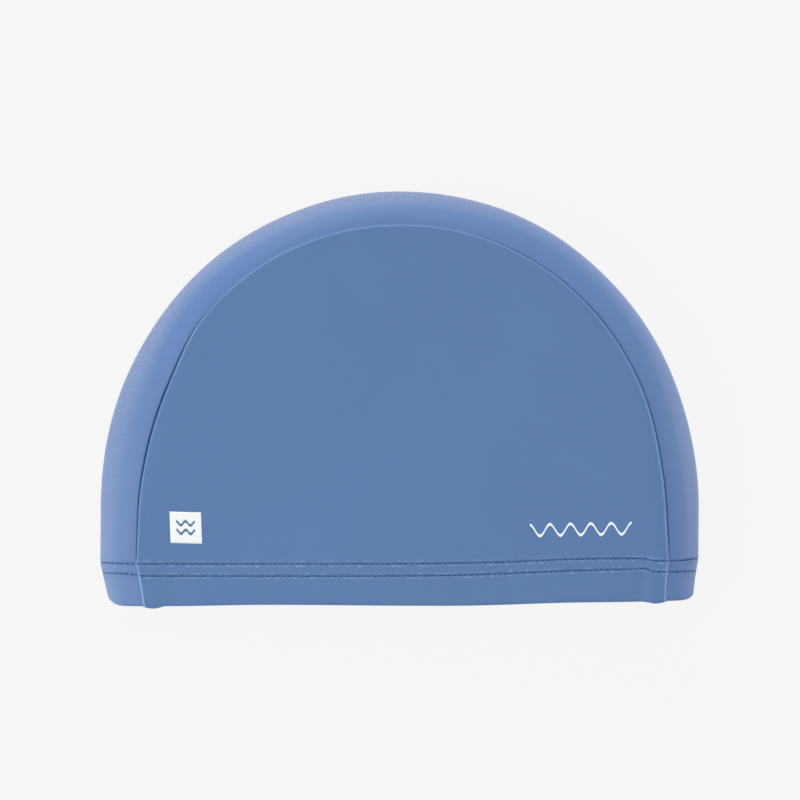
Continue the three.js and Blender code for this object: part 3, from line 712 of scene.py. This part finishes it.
def centre_strip():
    """The strip's mesh, and the lines of its two hems that carry the rows of stitches."""
    _, upper_run = even_places("upper", 10)
    _, under_run = even_places("under", 10)
    total = PER_STITCH * round((upper_run + under_run) / STITCH)
    upper_count = round(total * upper_run / (upper_run + under_run))
    upper_place, _ = even_places("upper", upper_count)
    under_place, _ = even_places("under", total - upper_count)
    rolls = len(ROLL_STEPS)
    at_roll = np.zeros(rolls)
    place = np.r_[at_roll, PAST_ROLL, upper_place[1:], under_place[1:-1][::-1], PAST_ROLL, at_roll]
    roll = np.r_[ROLL_STEPS, np.zeros(len(place) - 2 * rolls), ROLL_STEPS[::-1]]
    under = np.arange(len(place)) > rolls + upper_count
    across = np.r_[
        ROLL_STEPS - SEAM_ROLL,
        np.linspace(0, upper_run, upper_count + 1),
        upper_run + np.linspace(0, under_run, total - upper_count + 1)[1:],
        upper_run + under_run + SEAM_ROLL - ROLL_STEPS[::-1],
    ]
    stitch = across / (upper_run + under_run) * (total / PER_STITCH)

    def sections(along):
        """Outer and inner points of the strip at shares of the outline, by row and column."""
        at = station(along)
        parts = [strip_half(at, side, place, roll) for side in ("upper", "under")]
        away, rise, lean = (np.where(under, b, a) for a, b in zip(*parts))
        reach = np.where(under, at["under"], at["upper"])
        up = at["up"]
        share = np.clip(away / reach, 0, 1)
        corner = np.where(along < 0.5, *HEM_CORNER)
        climb = corner * share**CORNER_CURVE * np.maximum(0, 1 - up / HEM_DEPTH) ** 2
        x_out = at["x"] + at["out"][0] * (away - reach)
        last_x = ROW_UPPER[-1][0]
        wall = hem_wall(up, np.clip(x_out, -last_x, last_x))
        height = up + climb + hem_lift(x_out, up + climb)
        relief = hem_relief(stitch + STRIP_SHIFT, x_out, height) * (up < STITCHED_BELOW)
        relief = relief * smoothstep(away, 0.2, 0.8)
        double = (wall - FABRIC) / (HEM_THICKNESS - FABRIC)
        swell = 0.16 * np.sin(along * OUTLINE_LENGTH / 11 + 0.6) * np.sin(np.pi * share * 0.8)
        swell = swell * (1 - double)
        drop = rolled(away) * through(STRIP_TURN, along)
        dip = through(STRIP_DIP, along) * np.exp(-((away / 1.8) ** 2))
        dip = dip + 0.16 * through(STRIP_TURN, along) * np.exp(-((away / 0.7) ** 2))
        round_in = hem_round(up)

        def cloth_at(depth, drop_share):
            out = away - reach - depth * np.sin(lean)
            z = rise - dip - drop_share * drop - depth * np.cos(lean)
            z = np.where(under, FOLD_HEIGHT - z, FOLD_HEIGHT + z)
            return points(at["x"] + at["out"][0] * out, up + at["out"][1] * out + climb, z)

        cloth = np.stack([along * OUTLINE_LENGTH, np.broadcast_to(across, along.shape), away], -1)
        return cloth_at(round_in - relief - swell, 1.0), cloth_at(wall - round_in - swell, 0.6), cloth

    def hem(front):
        """Shares of the outline at the rows of the front or the back hem, by row and column."""
        ends = station(np.full(len(place), HEM_AT if front else 1 - HEM_AT))
        parts = [strip_half(ends, side, place, roll)[0] for side in ("upper", "under")]
        away = np.where(under, parts[1], parts[0])
        reach = np.where(under, ends["under"], ends["upper"])
        x = ends["x"] + ends["out"][0] * (away - reach)
        climb_at_stitches = 0.05 * HEM_CORNER[0 if front else 1] * (away / reach) ** CORNER_CURVE
        along = hem_rows(x, climb_at_stitches) / OUTLINE_LENGTH
        return along if front else 1 - along[::-1]

    body = np.linspace(SPOKES[0], SPOKES[-1], STRIP_ROWS)
    body = np.repeat(body[:, None], len(place), axis=1)
    along = np.vstack([hem(True), body, hem(False)])
    outer, inner, cloth = sections(along)
    faces = [tuple(reversed(face)) for face in grid_faces(*along.shape)]
    piece = closed_sheet(
        "centre_strip_cloth", outer.reshape(-1, 3), inner.reshape(-1, 3), faces, cloth.reshape(-1, 3)
    )
    front = {key: (outer[row], inner[row], stitch) for key, row in STITCH_ROWS.items()}
    back = {key: (outer[-1 - row], inner[-1 - row], stitch) for key, row in STITCH_ROWS.items()}
    return piece, front, back


strip, front_lines, back_lines = centre_strip()
strip_cloth = knit_material(
    "ribbed stretch knit",
    base=(0.101, 0.186, 0.39),
    light=(0.113, 0.205, 0.422),
    loops={"Wale": 0.96, "Course": 0.5, "Slant": 1.2, "Unevenness": 0.25},
    relief=0.8,
    gap_share=0.52,
    roughness=0.45,
    sheen=0.1,
    # stretch: a painted sheen highlight near the fold, strongest towards the crown's front, where the ribs
    # are also pulled open.
    stretch={
        "away": (7.0, 12.5), "most_at": 0.4 * OUTLINE_LENGTH, "over": 0.24 * OUTLINE_LENGTH,
        "pale": (0.235, 0.305, 0.495),
    },
)
strip.data.materials.append(strip_cloth)
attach(strip, "root")
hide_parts("centre_strip")

# Prints: a square with two waves left open in it, and a wavy line. Each is a thin white transfer
# that is heat-bonded to the upper panel and follows its cloth.
SQUARE = {"side": 12.5, "from_front": 34.5, "up": 31.35, "turn": -2, "lean": 0.07}
SQUARE_WAVE = {"length": 7.6, "swing": 0.8, "width": 1.2, "waves": 2, "spread": 3.4}
WAVE = {"length": 40.6, "swing": 2.3, "width": 1.2, "waves": 5, "from_back": 47.4, "up": 30.2, "turn": 0.8}
# How far a print's two faces stand off the cloth, and its place in the noise of its material.
PRINT_STANDS = (0.09, 0.01)
PRINT_NOISE = 20


def upper_face(x, up):
    """Height of the upper panel's cloth at places above its hem."""
    seam_x, seam_up, thick = seam_at(SPOKES, "upper", through(SEAM_OPEN, SPOKES))
    centre = (seam_x[0] + seam_x[-1]) / 2
    turns = np.arctan2(np.maximum(seam_up - FAN_BASE, 0), centre - seam_x)
    turn = np.arctan2(up - FAN_BASE, centre - x)
    length = np.interp(turn, turns, np.hypot(seam_x - centre, seam_up - FAN_BASE))
    share = np.hypot(x - centre, up - FAN_BASE) / length
    return panel_height("upper", share, np.interp(turn, turns, thick)) + soft_swell(x, up, share)


def print_piece(name, x, rows, filled, middle_x, middle_up, turn):
    """A print from the places of its mesh rows, in the print's own plane, and its filled cells."""
    angle = math.radians(turn)
    x = np.broadcast_to(x, rows.shape)
    across = middle_x + x * math.cos(angle) - rows * math.sin(angle)
    up = middle_up + x * math.sin(angle) + rows * math.cos(angle)
    height = upper_face(across, up)
    # It rises with the hem's line, and less so further up. What points() lifts is taken off first.
    fade = np.maximum(0, 1 - up / LIFT_REACH) ** 2
    risen = up + HEM_LIFT * through(HEM_LINE, across / HALF_LENGTH) * fade
    settled = risen - hem_lift(across, risen - hem_lift(across, up))
    outer, inner = (points(across, settled, height + stand).reshape(-1, 3) for stand in PRINT_STANDS)
    faces = [face for face, full in zip(grid_faces(*rows.shape), filled.ravel()) if full]
    cloth = np.stack([across, up, np.full_like(up, PRINT_NOISE)], -1).reshape(-1, 3)
    return closed_sheet(name, outer, inner, faces, cloth)


def wave_height(x, wave):
    """Middle line of a wave, and half of its width, which is rounded off at the ends."""
    half = wave["length"] / 2
    reach = wave["width"] / 2
    at = np.clip(x, -half, half) / wave["length"] + 0.5
    middle = wave["swing"] * np.cos(2 * np.pi * wave["waves"] * at)
    past = np.clip((np.abs(x) - (half - reach)) / reach, 0, 1)
    return middle, np.maximum(0.05, reach * np.sqrt(1 - past**2))


def square_print():
    """The square, whose mesh rows follow the edges of the two waves that are left open in it."""
    half, wave_half = SQUARE["side"] / 2, SQUARE_WAVE["length"] / 2
    inside = wave_half * np.sin(np.linspace(-np.pi / 2, np.pi / 2, 61))
    beside = np.linspace(wave_half, half, 12)[1:]
    x = np.r_[-beside[::-1], inside, beside]
    middle, reach = wave_height(x, SQUARE_WAVE)
    low, high = middle - SQUARE_WAVE["spread"] / 2, middle + SQUARE_WAVE["spread"] / 2
    bounds = [low - reach, low + reach, high - reach, high + reach]
    bounds = [np.full_like(x, -half), *bounds, np.full_like(x, half)]
    rows, open_rows = [], []
    for band, steps in enumerate((5, 1, 3, 1, 5)):
        rows += [bounds[band] + (bounds[band + 1] - bounds[band]) * step / steps for step in range(steps)]
        open_rows += [band in (1, 3)] * steps
    rows = np.array([*rows, bounds[-1]])
    in_wave = np.abs((x[1:] + x[:-1]) / 2) < wave_half
    filled = ~(np.array(open_rows)[:, None] & in_wave[None, :])
    where = (SQUARE["from_front"] - HALF_LENGTH, SQUARE["up"], SQUARE["turn"])
    return print_piece("square_transfer", x - SQUARE["lean"] * rows, rows, filled, *where)


def wave_print():
    """The wavy line, with its mesh columns closer together at its round ends."""
    half = WAVE["length"] / 2
    x = np.r_[-half, np.linspace(-half + 0.02, -half + 0.6, 8), np.linspace(-half + 0.8, half - 0.8, 181)]
    x = np.r_[x, np.linspace(half - 0.6, half - 0.02, 8), half]
    middle, reach = wave_height(x, WAVE)
    rows = np.array([middle + reach * share for share in np.linspace(-1, 1, 6)])
    filled = np.ones((rows.shape[0] - 1, rows.shape[1] - 1), bool)
    where = (HALF_LENGTH - WAVE["from_back"], WAVE["up"], WAVE["turn"])
    return print_piece("wave_transfer", x, rows, filled, *where)


white_print = bpy.data.materials.new("white transfer print")
white_print.use_nodes = True
tree = white_print.node_tree
ink = tree.nodes["Principled BSDF"]
cloth = put(tree, "Attribute", attribute_name="cloth").outputs["Vector"]
speckle = noise(tree, cloth, 2.6, 4.0)
tree.links.new(mixed(tree, speckle, (0.79, 0.84, 0.83), (0.87, 0.9, 0.9)), ink.inputs["Base Color"])
knit_under = put(tree, "Group", {"Cloth": cloth, **PANEL_LOOPS}, node_tree=KNIT).outputs
print_height = sum_of(tree, "ADD", knit_under["Height"], speckle)
print_bump = put(tree, "Bump", {"Height": print_height, "Strength": 0.12, "Distance": 0.0002})
tree.links.new(print_bump.outputs["Normal"], ink.inputs["Normal"])
ink_rough = sum_of(tree, "ADD", 0.38, sum_of(tree, "MULTIPLY", speckle, 0.15))
tree.links.new(ink_rough, ink.inputs["Roughness"])
for piece, node in ((square_print(), "square_print"), (wave_print(), "wave_print")):
    piece.data.materials.append(white_print)
    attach(piece, "root")
    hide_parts(node)

# Seam allowances: behind each panel the joined edges of panel and strip, two layers of cloth that
# are turned in and lie flat, with an overlock thread looped round their raw edge. The sections are
# places by their distance from the seam and their depth under the panel's face.
ALLOWANCE_SECTION = [
    (-0.5, 1.35), (-0.3, 1.05), (0, 0.97), (0.35, 1.05), (0.9, 1.28), (1.6, 1.22), (4, 1.2),
    (7.2, 1.22), (7.7, 1.32), (7.82, 1.55), (7.72, 1.82), (7.3, 1.92), (7.72, 2.02), (7.84, 2.28),
    (7.74, 2.52), (7.2, 2.62), (4, 2.64), (1.8, 2.58), (0.8, 2.35), (0, 1.95), (-0.42, 1.65),
]
OVERLOCK = [(3.9, 2.78), (5.6, 2.82), (7.3, 2.78), (7.98, 2.45), (8.02, 1.75), (7.6, 1.2)]
OVERLOCK_PITCH = 2.1
LOOPER_RADIUS = 0.13
NEEDLE_RADIUS = 0.16
NEEDLE_DEPTH = 0.36
# How far from the hem's edge the band and its threads begin and end.
ALLOWANCE_FROM = 19.6
OVERLOCK_FROM = 20.2
NEEDLE_FROM = 17


def behind_panel(side, along, away, depth):
    """Points behind a panel's seam, by distance from the seam and depth under the panel's face."""
    seam_x, seam_up, thick = seam_at(along, side)
    out_x, out_up = station(along)["out"]
    centre = seam_at(SPOKES[[0, -1]], side)[0].mean()
    reach = np.hypot(seam_x - centre, seam_up - FAN_BASE)
    face = panel_height(side, 1 - away / reach, thick)
    z = face + depth if side == "under" else face - depth
    return points(seam_x - out_x * away, seam_up - out_up * away, z)


def seam_allowance(side, name):
    """Two layers of cloth in one closed band, from hem to hem."""
    along = np.linspace(ALLOWANCE_FROM, OUTLINE_LENGTH - ALLOWANCE_FROM, 260) / OUTLINE_LENGTH
    section = np.array(ALLOWANCE_SECTION)
    uneven = 0.16 * np.sin(along * 150) + 0.1 * np.sin(along * 391 + 1)
    edge = smoothstep(section[:, 0], 4, 7.5)
    ring = behind_panel(side, along[:, None], section[:, 0] + uneven[:, None] * edge, section[:, 1])
    count = len(section)
    index = np.arange(len(along) * count).reshape(len(along), count)
    beside = np.roll(index, -1, axis=1)
    quads = np.stack([index[:-1], beside[:-1], beside[1:], index[1:]], -1).reshape(-1, 4)
    faces = [tuple(quad) for quad in quads.tolist()]
    faces += [tuple(index[0, ::-1].tolist()), tuple(index[-1].tolist())]
    if side == "upper":
        faces = [tuple(reversed(face)) for face in faces]
    run = np.broadcast_to((along * OUTLINE_LENGTH)[:, None], (len(along), count))
    cloth = np.stack([run, np.broadcast_to(section[:, 0], run.shape), 0 * run], -1)
    return new_piece(name, ring.reshape(-1, 3), faces, cloth)


def threads(name, paths, radius, sides=6, taper=1.0):
    """Threads along paths of points, as one mesh of round tubes. taper is the ends' share of the radius."""
    verts, faces, wound = [], [], []
    for path in paths:
        path = np.asarray(path, float)
        ahead = np.gradient(path, axis=0)
        ahead /= np.linalg.norm(ahead, axis=1)[:, None]
        aside = np.cross(ahead, np.where(np.abs(ahead[:, 2:]) < 0.9, [[0.0, 0, 1]], [[1.0, 0, 0]]))
        aside /= np.linalg.norm(aside, axis=1)[:, None]
        above = np.cross(aside, ahead)
        share = np.linspace(0, 1, len(path))
        thick = radius * (taper + (1 - taper) * np.sin(np.pi * share) ** 0.4)
        turn = 2 * np.pi * np.arange(sides) / sides
        ring = np.cos(turn)[None, :, None] * aside[:, None] + np.sin(turn)[None, :, None] * above[:, None]
        start = len(verts)
        verts += (path[:, None] + ring * thick[:, None, None]).reshape(-1, 3).tolist()
        run = np.r_[0, np.cumsum(np.linalg.norm(np.diff(path, axis=0), axis=1))]
        wound += [(along, side / sides, 0.0) for along in run for side in range(sides)]
        for row in range(len(path) - 1):
            for side in range(sides):
                a, b = start + row * sides + side, start + row * sides + (side + 1) % sides
                faces.append((a, b, b + sides, a + sides))
        faces.append(tuple(range(start + sides - 1, start - 1, -1)))
        faces.append(tuple(range(start + (len(path) - 1) * sides, start + len(path) * sides)))
    return new_piece(name, verts, faces, wound)


def overlock(side, name):
    """One thread that runs from the needle line to the raw edge and back at every stitch."""
    loop = np.array(OVERLOCK)
    steps = np.r_[np.arange(len(loop)), np.arange(len(loop) - 2, 0, -1)]
    count = int((OUTLINE_LENGTH - 2 * OVERLOCK_FROM) / OVERLOCK_PITCH)
    phase = (np.arange(len(steps)) / len(steps))[None, :] + np.arange(count)[:, None]
    along = (OVERLOCK_FROM + phase * OVERLOCK_PITCH) / OUTLINE_LENGTH
    path = behind_panel(side, along, loop[steps, 0][None, :], loop[steps, 1][None, :])
    return threads(name, [path.reshape(-1, 3)], LOOPER_RADIUS, sides=5)


def seam_needle(side, name):
    """The thread of the seam's needle, which shows where the seam gapes, coloured dark to paint the shade
    in the seam's groove.
    """
    along = np.linspace(NEEDLE_FROM, OUTLINE_LENGTH - NEEDLE_FROM, 900) / OUTLINE_LENGTH
    depth = NEEDLE_DEPTH + through(PANEL_TURN, along)
    path = behind_panel(side, along, through(SEAM_OPEN, along) / 2, depth)
    return threads(name, [path], NEEDLE_RADIUS)


def thread_material(name, base, light, sheen=0.3):
    """Spun polyester thread: plies that wind round it as slanted light and dark bands."""
    material = bpy.data.materials.new(name)
    material.use_nodes = True
    tree = material.node_tree
    shader = tree.nodes["Principled BSDF"]
    wound = put(tree, "SeparateXYZ", {0: put(tree, "Attribute", attribute_name="cloth").outputs["Vector"]})
    twist = sum_of(tree, "ADD", sum_of(tree, "MULTIPLY", wound.outputs[0], 2.4), wound.outputs[1])
    ply = sum_of(tree, "MULTIPLY", sum_of(tree, "PINGPONG", twist, 0.5), 2.0)
    tree.links.new(mixed(tree, ply, base, light), shader.inputs["Base Color"])
    bump = put(tree, "Bump", {"Height": ply, "Strength": 0.5, "Distance": 0.0001})
    tree.links.new(bump.outputs["Normal"], shader.inputs["Normal"])
    shader.inputs["Roughness"].default_value = 0.55
    shader.inputs["Sheen Weight"].default_value = sheen
    shader.inputs["Specular IOR Level"].default_value = sheen
    return material


seam_thread = thread_material("overlock thread", (0.1, 0.18, 0.36), (0.2, 0.31, 0.56))
# The seam needle thread is a real thread, made dark and saturated so that it paints the groove's shade.
needle_thread_and_shade = thread_material("seam needle thread and painted groove shade", (0.008, 0.085, 0.27), (0.012, 0.11, 0.33), sheen=0.05)
for side in ("upper", "under"):
    allowance = seam_allowance(side, side + "_allowance_cloth")
    allowance.data.materials.append(panel_cloth)
    looped = overlock(side, side + "_overlock")
    looped.data.materials.append(seam_thread)
    needle_shade_line = seam_needle(side, side + "_seam_needle")
    needle_shade_line.data.materials.append(needle_thread_and_shade)
    for piece in (allowance, looped, needle_shade_line):
        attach(piece, "root")
    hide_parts(side + "_seam_allowance")

# Hem stitches: two parallel rows of twin-needle stitching round the whole hem in a darker thread, whose
# colour is darker still to paint the shade in their grooves, joined on the inside by a looper thread that
# runs to and fro between them.
HEM_NEEDLE_RADIUS = 0.17
# The ends of a stitch dive this deep into their holes, and its middle arches over that.
STITCH_DIVE = 0.2
STITCH_ARCH = 0.3
# The hem rests on the table, so its under stitches are pressed flat at this height.
STITCH_LOWEST = 0.18
LOOPER_STAND = 0.14


def line_at(place, stitch, line):
    """Points along a mesh line at places counted in stitches."""
    return np.stack([np.interp(place, stitch, line[:, axis]) for axis in range(3)], -1)


def off_cloth(line, outwards):
    """Unit normals of the cloth along a line of its hem."""
    normal = np.cross(np.gradient(line, axis=0), [0, outwards, 0])
    return normal / np.linalg.norm(normal, axis=1)[:, None]


needle_paths, looper_paths = [], []
for lines, outwards in ((upper_lines, 1), (under_lines, -1), (front_lines, -1), (back_lines, 1)):
    for key, shift in (("upper", 0.0), ("lower", 0.5)):
        outer, _, stitch = lines[key]
        normal = off_cloth(outer, outwards)
        low, high = stitch[0] + 0.15, stitch[-1] - 0.15
        for hole in range(math.floor(low), math.ceil(high) + 1):
            slack = 0.04 * rng.standard_normal()
            start, end = max(hole - shift + 0.1, low), min(hole - shift + 0.9, high)
            if end - start < 0.25:
                continue
            place = np.linspace(start, end, 9)
            arch = (STITCH_ARCH + slack) * np.sin(np.pi * np.linspace(0, 1, 9)) ** 0.6
            rise = (arch - STITCH_DIVE)[:, None]
            path = line_at(place, stitch, outer) + line_at(place, stitch, normal) * rise
            path[:, 2] = np.maximum(path[:, 2], STITCH_LOWEST)
            needle_paths.append(path)
    insides = [lines[key][1] for key in ("lower", "upper")]
    insides = [inner + off_cloth(inner, -outwards) * LOOPER_STAND for inner in insides]
    stitch = lines["upper"][2]
    places = np.arange(math.ceil(stitch[0] + 0.8), math.floor(stitch[-1] - 0.8), 0.5)
    ends = [line_at(place, stitch, insides[turn % 2]) for turn, place in enumerate(places)]
    path = [a + (b - a) * t for a, b in zip(ends[:-1], ends[1:]) for t in (0, 0.06, 0.5, 0.94)]
    looper_paths.append(np.array(path))

# The hem thread's colour is its own dark blue with the painted shade of the stitch grooves.
hem_thread_and_shade = thread_material("hem thread and painted shade", (0.003, 0.036, 0.145), (0.012, 0.075, 0.235), sheen=0.05)
needle_rows = threads("hem_needle_rows", needle_paths, HEM_NEEDLE_RADIUS, taper=0.55)
needle_rows.data.materials.append(hem_thread_and_shade)
looper = threads("hem_looper", looper_paths, LOOPER_RADIUS, sides=5)
looper.data.materials.append(seam_thread)
for piece in (needle_rows, looper):
    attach(piece, "root")

# Floor, light and camera: a pale table that is lit from all round by large soft lamps, lowest
# to the right and behind, and a camera straight over the cap's middle. All in metres.
TABLE_HALF = 3
TABLE_TOP = -0.0001
CAMERA_AT = (0.0002, -0.00015)
CAMERA_HEIGHT = 2.2321
floor_mesh = bpy.data.meshes.new("table_top")
corners = [(x * TABLE_HALF, y * TABLE_HALF, TABLE_TOP) for x, y in ((-1, -1), (1, -1), (1, 1), (-1, 1))]
floor_mesh.from_pydata(corners, [], [(0, 1, 2, 3)])
floor = bpy.data.objects.new("table_top", floor_mesh)
bpy.context.scene.collection.objects.link(floor)
pale = bpy.data.materials.new("pale table")
pale.use_nodes = True
pale_shader = pale.node_tree.nodes["Principled BSDF"]
pale_shader.inputs["Base Color"].default_value = (0.03, 0.03, 0.03, 1)
pale_shader.inputs["Roughness"].default_value = 0.9
pale_shader.inputs["Specular IOR Level"].default_value = 0.05
pale_shader.inputs["Emission Color"].default_value = (1, 1, 1, 1)
pale_shader.inputs["Emission Strength"].default_value = 0.888
floor_mesh.materials.append(pale)

world = bpy.data.worlds.new("studio")
world.use_nodes = True
world.node_tree.nodes["Background"].inputs["Color"].default_value = (1, 1, 1, 1)
world.node_tree.nodes["Background"].inputs["Strength"].default_value = 0.3
bpy.context.scene.world = world

for name, size, energy, place in (
    ("overhead_softbox", 1.5, 8.8, (-0.3, 0.1, 2.6)),
    ("front_softbox", 0.7, 2.8, (-0.55, -0.7, 0.5)),
    ("left_softbox", 1.2, 15.4, (-1.4, -0.2, 1.0)),
    ("right_softbox", 1.2, 16.5, (1.6, 0.1, 0.35)),
    ("back_softbox", 1.2, 23.7, (-0.3, 1.6, 0.35)),
):
    lamp_data = bpy.data.lights.new(name, "AREA")
    lamp_data.shape = "DISK"
    lamp_data.size = size
    lamp_data.energy = energy
    lamp = bpy.data.objects.new(name, lamp_data)
    lamp.location = place
    lamp.visible_camera = False
    lamp.rotation_euler = (-Vector(place)).to_track_quat("-Z", "Y").to_euler()
    bpy.context.scene.collection.objects.link(lamp)

camera_data = bpy.data.cameras.new("camera")
camera_data.lens = 250
camera_data.sensor_width = 36
camera = bpy.data.objects.new("camera", camera_data)
camera.location = (*CAMERA_AT, CAMERA_HEIGHT)
bpy.context.scene.collection.objects.link(camera)
bpy.context.scene.camera = camera

scene = bpy.context.scene
scene.view_settings.view_transform = "Standard"
scene.view_settings.look = "None"
scene.view_settings.exposure = 0
scene.view_settings.gamma = 1
